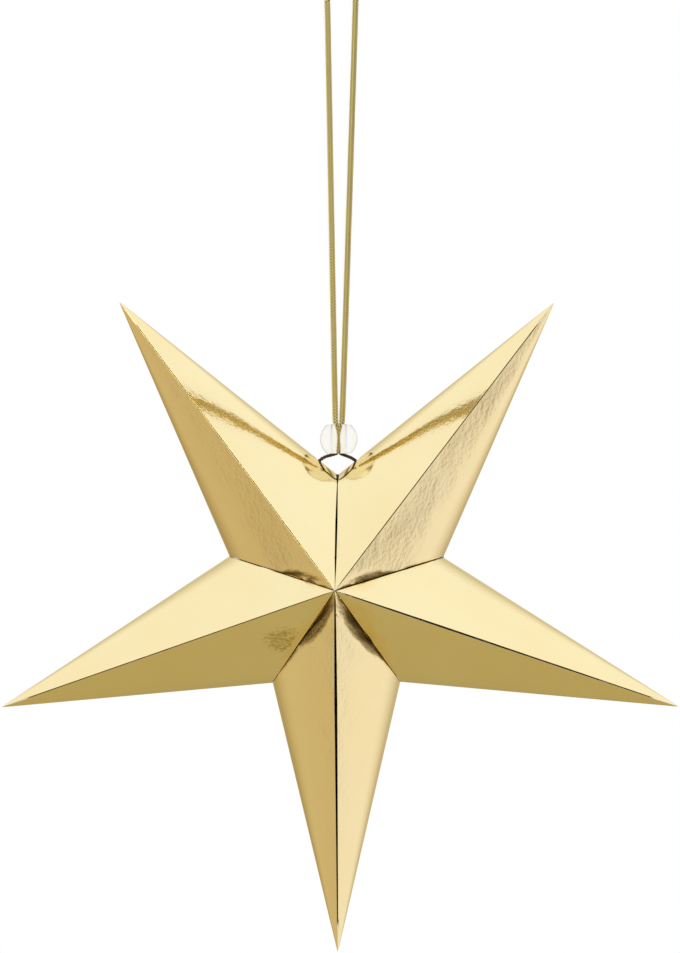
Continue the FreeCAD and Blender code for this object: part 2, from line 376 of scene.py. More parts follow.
PAINTED_SHADE_HEIGHTS = -0.2115, -0.2095     # heights between which the painted shade below the bead gives way to the thread's own colour
gold_thread, tree, shader = new_finish("gold_thread")
threads = add_node(tree, "ShaderNodeUVMap", {"uv_map": "thread"})
stretched = add_node(tree, "ShaderNodeMapping", {"Scale": (2.0, 24.0, 1.0)},
                     Vector=threads.outputs["UV"])
stripes = add_node(tree, "ShaderNodeTexWave", {"Scale": 0.5, "Distortion": 1.5, "Detail": 2.0},
                   Vector=stretched.outputs["Vector"])
glints = noise_pattern(tree, threads.outputs["UV"], 2.4, 3.0)
tones = two_tones(tree, glints, (0.85, 0.64, 0.10), (1.0, 0.90, 0.42))
rides = add_node(tree, "ShaderNodeSeparateXYZ", Vector=add_node(
    tree, "ShaderNodeUVMap", {"uv_map": "height"}).outputs["UV"])
# Painted shade: where a bundle rides low under the others, its colour is painted near-black.
crest = between(tree, rides.outputs["X"], 0.14, 0.58)
thread_with_painted_shade = blend(tree, "MIX", (0.035, 0.018, 0.004), tones, crest)
heights = add_node(tree, "ShaderNodeSeparateXYZ", Vector=add_node(
    tree, "ShaderNodeTexCoord").outputs["Object"])
# Painted shade: below these heights the thread's colour is painted dark brown.
above_painted_shade = between(tree, heights.outputs["Z"], *PAINTED_SHADE_HEIGHTS)
coat(tree, shader, Base_Color=blend(tree, "MIX", (0.10, 0.055, 0.012), thread_with_painted_shade, above_painted_shade),
     Normal=add_bump(tree, stripes.outputs["Fac"], 0.5, 0.0001), Metallic=0.25, Roughness=0.25)

# The core's near-black colour is painted shade, for the gaps between the bundles.
core_painted_shade, tree, shader = new_finish("core_yarn_painted_shade")
threads = add_node(tree, "ShaderNodeUVMap", {"uv_map": "thread"})
lint = noise_pattern(tree, threads.outputs["UV"], 6.0, 3.0)
tones = two_tones(tree, lint, (0.012, 0.007, 0.002), (0.05, 0.032, 0.008))
coat(tree, shader, Base_Color=tones, Roughness=0.9)
for piece in (cord, left_knot, right_knot):
    piece.data.materials.append(gold_thread)
    piece.data.materials.append(core_painted_shade)
print("gold thread on", cord.name, left_knot.name, right_knot.name)

# %% [markdown]
# ## The clear bead
#
# The bead is an acrylic ball with flattened ends and a bore wide enough for both halves of the
# cord. A turned thing is drawn as half of its section and spun round its axis, which gives clean
# rings of faces and a bore with rounded lips in one go.

# %% Turn the bead
BEAD_CENTRE = STAR_CENTRE + Vector((0.45, 0.0, 67.1)) * MM
BEAD_RADIUS, BEAD_HALF_HEIGHT, BORE, LIP = 8.25, 6.4, 3.1, 0.8


def select_only(piece):
    """Makes one piece the only selected one, and the active one."""
    bpy.ops.object.select_all(action="DESELECT")
    piece.select_set(True)
    bpy.context.view_layer.objects.active = piece


def first_point(name, place):
    """A new object in edit mode that holds one selected point: a plane merged to its middle."""
    bpy.ops.object.select_all(action="DESELECT")
    bpy.ops.mesh.primitive_plane_add(size=MM, location=(0, 0, 0))
    bpy.context.object.name = name
    bpy.ops.object.mode_set(mode="EDIT")
    bpy.ops.mesh.select_mode(type="VERT")
    bpy.ops.mesh.select_all(action="SELECT")
    bpy.ops.mesh.merge(type="CENTER")
    bpy.ops.transform.translate(value=place)
    return bpy.context.object


def extrude_to(place, here):
    """Extrudes the selected point to a new place and returns that place."""
    bpy.ops.mesh.extrude_region_move(TRANSFORM_OT_translate={"value": place - here})
    return place


def bead_section():
    """Half of the bead's section, from the bore over the top lip and the ball to the end."""
    points = [(BORE, z) for z in (-5.2, -2.6, 0.0, 2.6, 5.2)]
    points += [(BORE + LIP * (1 - math.cos(a)), BEAD_HALF_HEIGHT - LIP * 1.5 * (1 - math.sin(a)))
               for a in np.radians([25, 50, 75])]
    flat = math.acos(BEAD_HALF_HEIGHT / BEAD_RADIUS)
    points += [(BORE + 1.3, BEAD_HALF_HEIGHT),
               (BEAD_RADIUS * math.sin(flat) - 0.35, BEAD_HALF_HEIGHT)]
    points += [(BEAD_RADIUS * math.sin(a), BEAD_RADIUS * math.cos(a))
               for a in np.linspace(flat + 0.03, math.pi - flat - 0.03, 22)]
    points += [(x, -z) for x, z in reversed(points[5:10])]
    return [BEAD_CENTRE + Vector((x, 0.0, z)) * MM for x, z in points]


section = bead_section()
bead = first_point("clear_bead", section[0])
here = section[0]
for place in section[1:] + section[:1]:
    here = extrude_to(place, here)
bpy.ops.mesh.select_all(action="SELECT")
bpy.ops.mesh.remove_doubles(threshold=0.00001)
bpy.ops.mesh.select_all(action="SELECT")
bpy.ops.mesh.spin(steps=72, angle=2 * math.pi, center=BEAD_CENTRE, axis=(0, 0, 1))
bpy.ops.mesh.select_all(action="SELECT")
bpy.ops.mesh.remove_doubles(threshold=0.00001)
bpy.ops.mesh.normals_make_consistent(inside=False)
bpy.ops.object.mode_set(mode="OBJECT")
select_only(bead)
bpy.ops.object.shade_smooth()
print("bead of", len(bead.data.polygons), "faces,",
      [round(side * 1000, 2) for side in bead.dimensions], "mm")

# %% [markdown]
# ## Clear plastic
#
# The bead lets nearly all light through. In the photo its rim and its bore hardly bend what is
# behind them, so its index is set lower than solid acrylic's, and its surface is a little matt
# from handling. The slight yellow tint shows only where the light goes a long way inside.

# %% Make the clear plastic
clear_plastic, tree, shader = new_finish("clear_plastic")
where = add_node(tree, "ShaderNodeTexCoord").outputs["Object"]
clouds = noise_pattern(tree, where, 220.0, 2.0)
coat(tree, shader, Base_Color=two_tones(tree, clouds, (0.955, 0.93, 0.84), (0.985, 0.975, 0.93)),
     Transmission_Weight=1.0, IOR=1.25, Roughness=0.18)
bead.data.materials.append(clear_plastic)
print("clear plastic on", bead.name)

# %% [markdown]
# ## The leaves
#
# Each leaf is one sheet: a front face and a back face with a soft fold between them along the
# arm's outline. The fold is wide at the notch and closes to nothing at the tip, so the sheet is
# part of a cone with its point at the tip. That gives a simple way to model it exactly. Half of
# one cross-section is drawn point by point, extruded, and shrunk towards the tip. The long strips
# are then cut into rows, the sheet is cut along its notch's plane, and its edges are turned in
# as glue tabs over a small rounded shoulder. A mirror gives the back, and Solidify the thickness.

# %% Where each leaf lies
# Degrees clockwise from the top, and millimetres from the star's centre.
TIPS = {"top_right": (36.8, 158.7), "right": (108.6, 157.6), "bottom": (180.0, 157.8),
        "left": (251.1, 156.1), "top_left": (323.0, 159.7)}
NOTCHES = {"top_right_side": (0.75, 51.9), "right": (71.9, 48.8), "lower_right": (145.2, 48.1),
           "lower_left": (215.6, 49.1), "left": (288.2, 50.1), "top_left_side": (359.25, 51.9)}
PEAK = STAR_CENTRE + FRONT * 0.052
FOLD_RADIUS = 0.005
TIP_BLUNT = 0.0005
CARD = 0.00035


def clockwise(degrees):
    """The way out from the star's centre at this many degrees clockwise from the top."""
    return Vector((math.sin(math.radians(degrees)), 0.0, math.cos(math.radians(degrees))))


class Leaf:
    """The lines and directions of one leaf, worked out from its tip and its notch."""

    def __init__(self, tip, notch):
        self.tip_way, self.notch_way = clockwise(tip[0]), clockwise(notch[0])
        self.tip = STAR_CENTRE + self.tip_way * tip[1] * MM
        self.apex = self.tip + self.tip_way * TIP_BLUNT
        notch_place = STAR_CENTRE + self.notch_way * notch[1] * MM
        outline = (notch_place - self.apex).normalized()
        inward = outline.cross(FRONT)
        if inward.dot(self.apex - STAR_CENTRE) > 0:
            inward.negate()
        slope = math.atan(FOLD_RADIUS / (notch_place - self.apex).length)
        self.axis = outline * math.cos(slope) + inward * math.sin(slope)
        self.out = outline * math.sin(slope) - inward * math.cos(slope)
        to_peak = PEAK - self.apex
        self.reach = to_peak.dot(self.axis)
        across, down = -to_peak.dot(self.out), -to_peak.y
        self.side_angle = (math.atan2(across, down)
                           + math.asin(math.tan(slope) * self.reach / math.hypot(across, down)))
        self.slope = slope
        radial = self.out * math.cos(self.side_angle) + FRONT * math.sin(self.side_angle)
        self.face_out = (radial * math.cos(slope) - self.axis * math.sin(slope)).normalized()
        self.ridge_in = self.tip_way.cross(FRONT)
        if self.ridge_in.dot(self.notch_way) < 0:
            self.ridge_in.negate()
        self.notch_in = self.notch_way.cross(FRONT)
        if self.notch_in.dot(self.tip_way) < 0:
            self.notch_in.negate()
        self.notch_place = notch_place

    def face_out_at_ridge(self, face_start):
        """The face's outward direction beside the ridge."""
        far = self.reach * PAST_PEAK
        across = self.apex + (PEAK - self.apex) * (far / self.reach) - face_start
        steeper = ease(across.length, across.length)[1]
        return (self.face_out - across.normalized() * steeper).normalized()


one = Leaf(TIPS["bottom"], NOTCHES["lower_right"])
print("the bottom arm's right face leans", round(math.degrees(math.acos(-one.face_out.y)), 1),
      "degrees from the picture, and its fold turns", round(2 * math.degrees(one.side_angle), 1))

# %% [markdown]
# ## Drawing the section
#
# The card doesn't go from its fold straight into a flat face. It is stiff, so it eases out of the
# bend over the first two centimetres, and then runs flat up to the ridge. That ease is what makes
# the light fade softly beside the star's outline, while the cord's reflection farther in stays a
# fine line, as it does in a flat mirror.

# %% Draw a leaf's section and draw it out to the tip
FOLD_STEPS, FACE_STEPS, ROWS = 9, 14, 76
PAST_PEAK = 1.03            # the section lies this much farther from the tip than the peak does
CROWDING = 1.6              # crowds the face's points towards the fold, where it curves
EASE_ANGLE = 0.30           # how much steeper than the face the card leaves its fold, in radians
EASE_LENGTH = 0.0072        # and over what length most of that is gone, at the section


def ease(run, length):
    """How far the face stands out from its straight line, and its slope, this far from the fold."""
    fade, end = math.exp(-run / EASE_LENGTH), 1 - math.exp(-length / EASE_LENGTH)
    height = EASE_ANGLE * EASE_LENGTH * ((1 - fade) - run / length * end)
    return height, EASE_ANGLE * (fade - EASE_LENGTH / length * end)


def draw_section(leaf, name):
    """Spins the fold and extrudes the face, at a section just past the star's peak."""
    far = leaf.reach * PAST_PEAK
    radius = far * math.tan(leaf.slope)
    middle = leaf.apex + leaf.axis * far
    ridge_end = leaf.apex + (PEAK - leaf.apex) * (far / leaf.reach)
    length = (ridge_end - middle).length
    turn = leaf.side_angle - ease(0.0, length)[1]
    here = middle + leaf.out * radius
    piece = first_point(name, here)
    bpy.ops.mesh.spin(steps=FOLD_STEPS, angle=turn, center=middle, axis=FRONT.cross(leaf.out))
    start = middle + (leaf.out * math.cos(turn) + FRONT * math.sin(turn)) * radius
    here = start
    for share in [(step / FACE_STEPS) ** CROWDING for step in range(1, FACE_STEPS + 1)]:
        stands_out = leaf.face_out * ease(share * length, length)[0]
        here = extrude_to(start.lerp(ridge_end, share) + stands_out, here)
    return piece, start


trial, fold_end = draw_section(one, "trial")
bpy.ops.object.mode_set(mode="OBJECT")
nearest = min((v.co - fold_end).length for v in trial.data.vertices)
print("section of", len(trial.data.vertices), "points; the spun fold ends", round(nearest * 1e6, 2),
      "micrometres from where the face starts")
bpy.data.objects.remove(trial)

# %% [markdown]
# ## From section to sheet
#
# Every straight line of a cone runs through its point, so shrinking the drawn-out section about
# the tip gives the whole curved sheet at once. The rows that are cut across it carry the fine
# steps of the seams. Along the ridge and along the notch the card bends over a small shoulder and
# goes into the star as a tab, and between two leaves there stays a hair's width of shadow. On the
# bottom arm and on the right arm the ridge seam has sprung open a little, so it is wider there.
# Near the peak the glue pulls the card down into the valleys, and the two faces mirror each other.
# On the star's back the seams are pressed shut.

# %% Turn a section into a leaf
SHOULDER = 0.00007          # radius that the card bends over at a seam
SHOULDER_STEPS = 4
SEAM = 0.00011              # least half gap between two leaves
SEAM_WOBBLE = 0.00008       # how much more the half gap gets where the hand was less sure
SHUT = 0.000004             # half gap of the same seams on the star's back
TAB = 0.0035
TIP_SECTION = 0.0009        # how far from the leaf's point the sheet is drawn out to
ON_PLANE = 2e-6             # a point this close to a plane lies on it
TIP_FADE, PEAK_FADE = 0.012, 0.005      # how far from tip and peak a seam gets its full width
SEAM_OPENING = {"bottom": 0.0009, "right": 0.0005}
OPENING_PLACE, OPENING_AT_CENTRE = 0.048, 0.3
VALLEY_GAP = {"right": 0.0003, "lower_right": 0.00014, "lower_left": 0.00012, "left": 0.00022}
# Where the card rolls down into its valley: how deep, how far out from the peak, and how wide.
ROLL = {
    "top_right_arm_outer_leaf": (0.0006, 0.028, 0.0055),
    "right_arm_upper_leaf": (0.0006, 0.020, 0.007),
    "right_arm_lower_leaf": (0.0013, 0.040, 0.014),
    "bottom_arm_right_leaf": (0.0011, 0.035, 0.0055),
    "bottom_arm_left_leaf": (0.0011, 0.028, 0.0060),
    "left_arm_lower_leaf": (0.0007, 0.030, 0.009),
    "left_arm_upper_leaf": (0.0007, 0.020, 0.007),
    "top_left_arm_outer_leaf": (0.0011, 0.028, 0.0055),
}
# Half the top seam's width, by distance from the star's middle line.
TOP_SLIT = [(0.0, 0.00005), (0.004, 0.00012), (0.013, 0.0004), (0.030, 0.0005),
            (0.042, 0.0003), (0.047, 0.00018), (0.053, 0.0008)]


def choose(kind, test):
    """In edit mode, selects the points or edges for which the test holds."""
    bpy.ops.mesh.select_mode(type=kind)
    bpy.ops.mesh.select_all(action="DESELECT")
    shape = bmesh.from_edit_mesh(bpy.context.object.data)
    for part in [part for part in (shape.verts if kind == "VERT" else shape.edges) if test(part)]:
        part.select_set(True)
    if kind == "VERT":
        shape.select_flush(True)
    bmesh.update_edit_mesh(bpy.context.object.data)


def move_chosen(shift):
    """Moves each selected point by its own step, which the function gives for its place."""
    shape = bmesh.from_edit_mesh(bpy.context.object.data)
    for point in shape.verts:
        if point.select:
            point.co += shift(point.co)
    bmesh.update_edit_mesh(bpy.context.object.data)


def away(place):
    """How far out from the star's middle line a point is."""
    return math.hypot(place.x - STAR_CENTRE.x, place.z - STAR_CENTRE.z)


def ridge_gap(place, tip, opening):
    """Half of the ridge seam's width here: the sprung opening and some unevenness of handwork."""
    out = away(place)
    if out < OPENING_PLACE:
        share = OPENING_AT_CENTRE + (1 - OPENING_AT_CENTRE) * out / OPENING_PLACE
    else:
        share = (tip[1] * MM - out) / (tip[1] * MM - OPENING_PLACE)
    wobble = 0.5 + 0.5 * noise.noise(Vector((out * 260.0, tip[0], 0.0)))
    return SEAM + max(0.0, share) * opening / 2 + SEAM_WOBBLE * wobble * min(1.0, out / 0.02)


def top_slit(place):
    """Half of the top seam's width: it gapes in the middle, and its corners stand apart above."""
    return float(np.interp(away(place), *zip(*TOP_SLIT)))


def roll_valley(leaf, depth, reach, width):
    """Near the star's peak the card rolls softly down into the valley's seam."""
    for line in (0.25, 0.5, 0.75, 1.0):
        bpy.ops.mesh.select_all(action="SELECT")
        bpy.ops.mesh.bisect(plane_co=STAR_CENTRE + leaf.notch_in * width * line,
                            plane_no=leaf.notch_in)

    def into_seam(place):
        near = 1 - (place - STAR_CENTRE).dot(leaf.notch_in) / width
        out = away(place)
        crumple = 0.75 + 0.5 * noise.noise(place * 420.0)
        share = min(1.0, out / (0.45 * reach)) * max(0.0, min(1.0, (reach - out) / (0.4 * reach)))
        return Vector((0, depth * crumple * share * max(0.0, near) ** 2, 0))

    choose("VERT", lambda point: (point.co - STAR_CENTRE).dot(leaf.notch_in) < width
           and away(point.co) < reach and point.co.y < -0.005)
    move_chosen(into_seam)


def close_behind(way_in, gap, far_end):
    """On the star's back the seam stays shut, so no light comes through from behind."""
    def on_seam(place):
        stands = (place - STAR_CENTRE).dot(way_in) - gap(place)
        on_back = place.y > 0.001 and (place - far_end).length > TIP_FADE
        return on_back and -ON_PLANE < stands < 0.00012

    choose("VERT", lambda point: on_seam(point.co))
    move_chosen(lambda place: way_in * (SHUT - gap(place)))


def seam_ways(edge_way, into_seam, face_out):
    """At a seam: the way over the face, the way down into the star, and the angle between them."""
    face_way = edge_way.cross(face_out).normalized()
    if face_way.dot(into_seam) < 0:
        face_way.negate()
    inward = edge_way.cross(into_seam).normalized()
    if inward.dot(face_out) > 0:
        inward.negate()
    return face_way, inward, face_way.angle(inward)


def turn_in(edge_way, into_seam, face_out, small):
    """Bends the selected edge over a small shoulder, and then in towards the middle as a tab."""
    face_way, inward, turn = seam_ways(edge_way, into_seam, face_out)
    square = (inward - face_way * math.cos(turn)).normalized()
    for step in range(1, SHOULDER_STEPS + 1):
        a, b = turn * (step - 1) / SHOULDER_STEPS, turn * step / SHOULDER_STEPS
        part = SHOULDER * (face_way * (math.sin(b) - math.sin(a))
                           + square * (math.cos(a) - math.cos(b)))
        bpy.ops.mesh.extrude_region_move()
        move_chosen(lambda place: part * small(place))
    for _ in range(2):
        bpy.ops.mesh.extrude_region_move()
        move_chosen(lambda place: Vector((0, min(TAB / 2, -place.y * 0.42), 0)))


def shoulder_reach(turn):
    """How far the shoulder comes out from where it leaves the face, square to the seam."""
    return SHOULDER * (1 - math.cos(turn))


def draw_out(leaf):
    """Draws the section out into the whole sheet and cuts it into rows."""
    bpy.ops.mesh.select_all(action="SELECT")
    bpy.ops.mesh.extrude_region_move()
    shrink = TIP_SECTION / (leaf.reach * PAST_PEAK)
    bpy.ops.transform.resize(value=(shrink,) * 3, center_override=leaf.apex)
    choose("EDGE", lambda edge: edge.calc_length() > 0.05)
    bpy.ops.mesh.subdivide(number_cuts=ROWS)


def trim(place, way):
    """Cuts off everything past a plane."""
    bpy.ops.mesh.select_all(action="SELECT")
    bpy.ops.mesh.bisect(plane_co=place, plane_no=way, clear_outer=True, clear_inner=False)


def fold_leaf(name, tip, notch, opening, valley_gap, roll, glued):
    """Models one leaf of card, from its section to its finished thickness."""
    leaf = Leaf(tip, notch)
    piece, start = draw_section(leaf, name)
    draw_out(leaf)

    notch_way = (leaf.notch_place - PEAK).normalized()
    notch_turn = seam_ways(notch_way, -leaf.notch_in, leaf.face_out)[2]
    gap = valley_gap + shoulder_reach(notch_turn) if glued else 0.0
    trim(STAR_CENTRE + leaf.notch_in * gap, -leaf.notch_in)
    trim(leaf.tip, leaf.tip_way)
    if roll:
        roll_valley(leaf, *roll)
    if not glued:
        lean = abs(leaf.notch_way.x)
        choose("VERT",
               lambda point: abs((point.co - STAR_CENTRE).dot(leaf.notch_in)) < ON_PLANE)
        move_chosen(lambda place: leaf.notch_in * (top_slit(place) - away(place) * lean))

    def on_ridge(place):
        return abs((place - STAR_CENTRE).dot(leaf.ridge_in)) < ON_PLANE and place.y < -1e-5

    def on_valley(place):
        from_plane = abs((place - STAR_CENTRE).dot(leaf.notch_in) - gap)
        return from_plane < ON_PLANE and place.y < -0.006 and (place - PEAK).length > 0.0015

    def small(place):
        return min(1.0, (place - leaf.tip).length / TIP_FADE, (place - PEAK).length / PEAK_FADE)

    ridge_way = (leaf.apex - PEAK).normalized()
    ridge_face_out = leaf.face_out_at_ridge(start)
    face_way, _, ridge_turn = seam_ways(ridge_way, -leaf.ridge_in, ridge_face_out)
    back_off = -face_way.dot(leaf.ridge_in)
    choose("VERT", lambda point: on_ridge(point.co))
    move_chosen(lambda place: face_way * (-small(place) * (
        ridge_gap(place, tip, opening) + shoulder_reach(ridge_turn)) / back_off))
    turn_in(ridge_way, -leaf.ridge_in, ridge_face_out, small)
    if glued:
        choose("EDGE", lambda edge: all(on_valley(point.co) for point in edge.verts))
        turn_in(notch_way, -leaf.notch_in, leaf.face_out, lambda place: 1.0)

    bpy.ops.mesh.select_all(action="SELECT")
    bpy.ops.mesh.remove_doubles(threshold=0.0000005)
    bpy.ops.object.mode_set(mode="OBJECT")
    give_back(piece)
    bpy.ops.object.mode_set(mode="EDIT")
    close_behind(leaf.ridge_in, lambda place: ridge_gap(place, tip, opening), leaf.tip)
    if glued:
        close_behind(leaf.notch_in, lambda place: valley_gap, leaf.tip)
    else:
        close_behind(Vector((math.copysign(1.0, leaf.tip.x), 0, 0)), top_slit, leaf.tip)
    bpy.ops.object.mode_set(mode="OBJECT")
    give_thickness(piece)
    return piece, leaf


def give_back(piece):
    """Mirrors the front half to the back."""
    piece.data.materials.append(foil)
    piece.data.materials.append(paper)
    select_only(piece)
    mirror = piece.modifiers.new("back", "MIRROR")
    mirror.use_axis = (False, True, False)
    mirror.use_mirror_merge = True
    mirror.merge_threshold = ON_PLANE
    bpy.ops.object.modifier_apply(modifier=mirror.name)


def give_thickness(piece):
    """Makes all faces point out, and thickens the sheet to its inner side."""
    thickness = piece.modifiers.new("card", "SOLIDIFY")
    thickness.thickness = CARD
    thickness.offset = -1.0
    thickness.thickness_clamp = 1.0
    thickness.material_offset = 1
    thickness.material_offset_rim = 1
    outward = sum(1 if face.normal.dot(face.center - STAR_CENTRE) > 0 else -1
                  for face in piece.data.polygons)
    if outward < 0:
        bpy.ops.object.mode_set(mode="EDIT")
        bpy.ops.mesh.select_all(action="SELECT")
        bpy.ops.mesh.flip_normals()
        bpy.ops.object.mode_set(mode="OBJECT")
    bpy.ops.object.modifier_apply(modifier=thickness.name)
    bpy.ops.object.shade_smooth_by_angle(angle=math.radians(14))


# %% [markdown]
# ## Gold foil and raw card
#
# The front of the card is a thin mirror of pale gold film, pressed onto paper. It mirrors the room,
# but softly, and the paper under it gives it a faint orange-peel dimpling that makes straight
# reflections waver. So the shader is a smooth metal with three sizes of shallow bumps, and its
# roughness changes a little from place to place. On the left arm's lower leaf the glue has
# puckered a patch beside the valley, and there the foil's colour is painted darker, a painted dark
# reflection of the faces beside it. The back of the card and its cut edges are cream paper, which
# shows where the top seam stands open.

# %% Make the foil and the paper
PATCH_PLACE = (-0.023, -0.028, -0.2945)     # the middle of the patch of puckers and of painted dark reflection
PATCH_EDGE, PATCH_CORE = 0.017, 0.006       # how far out it ends, and how far out it is full


def patch_wrinkles_and_painted_dark(tree, where):
    """Fine flat wrinkles in the glued patch, on its own side of the lower left valley only, and the
    mask by which the foil's colour there is painted darker, a painted dark reflection.
    """
    distance = compute(tree, "DISTANCE", where, PATCH_PLACE, "ShaderNodeVectorMath")
    near = between(tree, distance, PATCH_EDGE, PATCH_CORE)
    valley = Leaf(TIPS["left"], NOTCHES["lower_left"]).notch_in
    side = compute(tree, "DOT_PRODUCT", where, tuple(valley), "ShaderNodeVectorMath")
    middle = STAR_CENTRE.dot(valley)
    this_leaf = between(tree, side, middle + 0.0005, middle + 0.003)
    patch = compute(tree, "MULTIPLY", near, this_leaf)
    flattened = add_node(tree, "ShaderNodeMapping", {"Scale": (1.0, 1.0, 2.2)}, Vector=where)
    wrinkles = noise_pattern(tree, flattened.outputs["Vector"], 560.0, 4.0)
    return compute(tree, "MULTIPLY", patch, wrinkles)


foil, tree, shader = new_finish("pale_gold_foil")
where = add_node(tree, "ShaderNodeTexCoord").outputs["Object"]
wrinkles_and_painted_dark = patch_wrinkles_and_painted_dark(tree, where)
broad = add_bump(tree, noise_pattern(tree, where, 10.0, 1.0, 0.3), 1.0, 0.0008)
coarse = add_bump(tree, noise_pattern(tree, where, 75.0, 2.0, 0.4), 0.2, 0.0003, broad)
puckered = add_bump(tree, wrinkles_and_painted_dark, 1.0, 0.00045, coarse)
fine = add_bump(tree, noise_pattern(tree, where, 520.0, 2.0, 0.45), 0.22, 0.00008, puckered)
patches = noise_pattern(tree, where, 30.0, 3.0)
tones = two_tones(tree, patches, (0.96, 0.73, 0.275), (0.975, 0.76, 0.305))
# Painted dark reflection: in the patch the foil's colour goes towards dark brown.
painted_dark_reflection = blend(tree, "MIX", tones, (0.56, 0.39, 0.08), between(tree, wrinkles_and_painted_dark, 0.36, 0.64))
mist = add_node(tree, "ShaderNodeMapRange",
                {"From Min": 0.3, "From Max": 0.7, "To Min": 0.06, "To Max": 0.09}, Value=patches)
coat(tree, shader, Base_Color=painted_dark_reflection, Normal=fine, Metallic=1.0, Roughness=mist.outputs["Result"])

paper, tree, shader = new_finish("cream_card")
where = add_node(tree, "ShaderNodeTexCoord").outputs["Object"]
fibres = noise_pattern(tree, where, 1500.0, 4.0)
tones = two_tones(tree, fibres, (0.70, 0.64, 0.48), (0.82, 0.77, 0.62))
coat(tree, shader, Base_Color=tones, Normal=add_bump(tree, fibres, 0.3, 0.00005), Roughness=0.85)
print("foil and card ready")

# %% [markdown]
# ## The ten leaves
#
# No two arms of this star are quite alike, as in any handwork, so each leaf is folded from its own
# tip and notch. The two leaves beside the top notch aren't glued to each other: their edges there
# stay raw and stand a little apart, and each has a punched hole that the cord goes through.

# %% Fold all ten leaves
LEAVES = {
    "top_right_arm_inner_leaf": ("top_right", "top_right_side"),
    "top_right_arm_outer_leaf": ("top_right", "right"),
    "right_arm_upper_leaf": ("right", "right"),
    "right_arm_lower_leaf": ("right", "lower_right"),
    "bottom_arm_right_leaf": ("bottom", "lower_right"),
    "bottom_arm_left_leaf": ("bottom", "lower_left"),
    "left_arm_lower_leaf": ("left", "lower_left"),
    "left_arm_upper_leaf": ("left", "left"),
    "top_left_arm_outer_leaf": ("top_left", "left"),
    "top_left_arm_inner_leaf": ("top_left", "top_left_side"),
}
HOLE_PLACE, HOLE_RADIUS = 0.0084, 0.0018    # how far from the star's middle, and how wide


def punch_hole(piece, leaf):
    """Cuts the cord's hole through the fold, square to the leaf's outline."""
    outline = (leaf.notch_place - leaf.apex).normalized()
    along = (math.copysign(HOLE_PLACE, leaf.tip.x) - leaf.notch_place.x) / outline.x
    centre = leaf.notch_place + outline * along
    out = outline.cross(FRONT)
    if out.dot(centre - STAR_CENTRE) < 0:
        out.negate()
    bpy.ops.object.select_all(action="DESELECT")
    bpy.ops.mesh.primitive_cylinder_add(vertices=32, radius=HOLE_RADIUS, depth=0.012,
                                        location=centre,
                                        rotation=out.to_track_quat("Z", "Y").to_euler())
    punch = bpy.context.object
    punch.data.materials.append(paper)
    select_only(piece)
    cut = piece.modifiers.new("hole", "BOOLEAN")
    cut.object = punch
    cut.material_mode = "TRANSFER"
    bpy.ops.object.modifier_apply(modifier=cut.name)
    bpy.data.objects.remove(punch)


leaves = []
for node, (tip, notch) in LEAVES.items():
    piece, leaf = fold_leaf("folded_" + node, TIPS[tip], NOTCHES[notch],
                            SEAM_OPENING.get(tip, 0.0), VALLEY_GAP.get(notch, 0.0),
                            ROLL.get(node), glued="side" not in notch)
    if "side" in notch:
        punch_hole(piece, leaf)
    leaves.append((piece, node))
    check = bmesh.new()
    check.from_mesh(piece.data)
    print(piece.name, len(check.faces), "faces,", sum(not e.is_manifold for e in check.edges),
          "open edges,", round(check.calc_volume() * 1e9), "mm3")
    check.free()

# %% [markdown]
# ## Each piece to its place in the imported star
#
# Every new piece stands for one imported piece and moves with it. The star has no joints, so all of
# them ride on the one root body.

# %% Tie the pieces to the imported star
for piece, node in leaves + [(cord, "hanging_cord"), (left_knot, "cord_knot_left"),
                             (right_knot, "cord_knot_right"), (bead, "bead")]:
    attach(piece, "root")
    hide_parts(node)

# %% [markdown]
# ## The studio
#
# A mirror shows its surroundings, so the room matters as much as the foil. The faces of this star
# mirror what is beside, above and below it. The photo's room is bright and slightly cool above
# and to the right, dimmer and warmer to the left and below, and white behind the star. A narrow
# dark band goes round the star beside its plane, and low down the band is wider, which the faces
# beside the lower valleys mirror. The world is this room. It is white to the camera, straight
# and through the bead.

# %% Light the room
ROOM_DIFFUSE = 0.62         # share of the room's light that falls on dull surfaces
WHITE, BLACK = (1.0, 1.0, 1.0), (0.0, 0.0, 0.0)
BAND, LOW_BAND = (0.07, 0.07, 0.07), (0.08, 0.07, 0.05)
THROUGH_THE_BEAD = (0.90, 0.94, 1.08)   # the room where the foil mirrors the bead
# Each ramp runs between two values of one axis of the direction, in stops of (share, colour).
BY_HEIGHT = (-1, 1), [
    (0.0, (0.42, 0.38, 0.25)), (0.32, (0.62, 0.56, 0.50)), (0.42, (0.66, 0.62, 0.56)),
    (0.6, (0.85, 0.88, 1.10)), (0.8, (0.99, 1.09, 1.56)), (1.0, (0.99, 1.11, 1.66))]
WINDOW_BY_SIDE = (0.3, 0.9), [(0.0, BLACK), (1.0, (0.33, 0.45, 1.0))]
WINDOW_BY_HEIGHT = (-0.75, 0.3), [
    (0.0, BLACK), (0.35, WHITE), (0.8, (0.7, 0.7, 0.7)), (1.0, (0.2, 0.2, 0.2))]
BY_DEPTH = (-1, 1), [
    (0.0, (0.8, 0.78, 0.72)), (0.40, (0.8, 0.79, 0.74)), (0.45, (0.3, 0.29, 0.26)),
    (0.47, BAND), (0.50, BAND), (0.53, (0.35, 0.34, 0.30)), (0.565, WHITE), (0.66, WHITE),
    (0.72, (0.86, 0.84, 0.76)), (0.8, (0.68, 0.64, 0.50)), (0.9, (0.70, 0.66, 0.54)),
    (1.0, (0.8, 0.78, 0.7))]
LOW_BY_DEPTH = (-0.2, 0.24), [
    (0.0, WHITE), (0.25, LOW_BAND), (0.82, LOW_BAND), (0.91, (0.32, 0.29, 0.22)), (1.0, WHITE)]
LOW = (-0.25, 0.1), [(0.0, WHITE), (1.0, BLACK)]
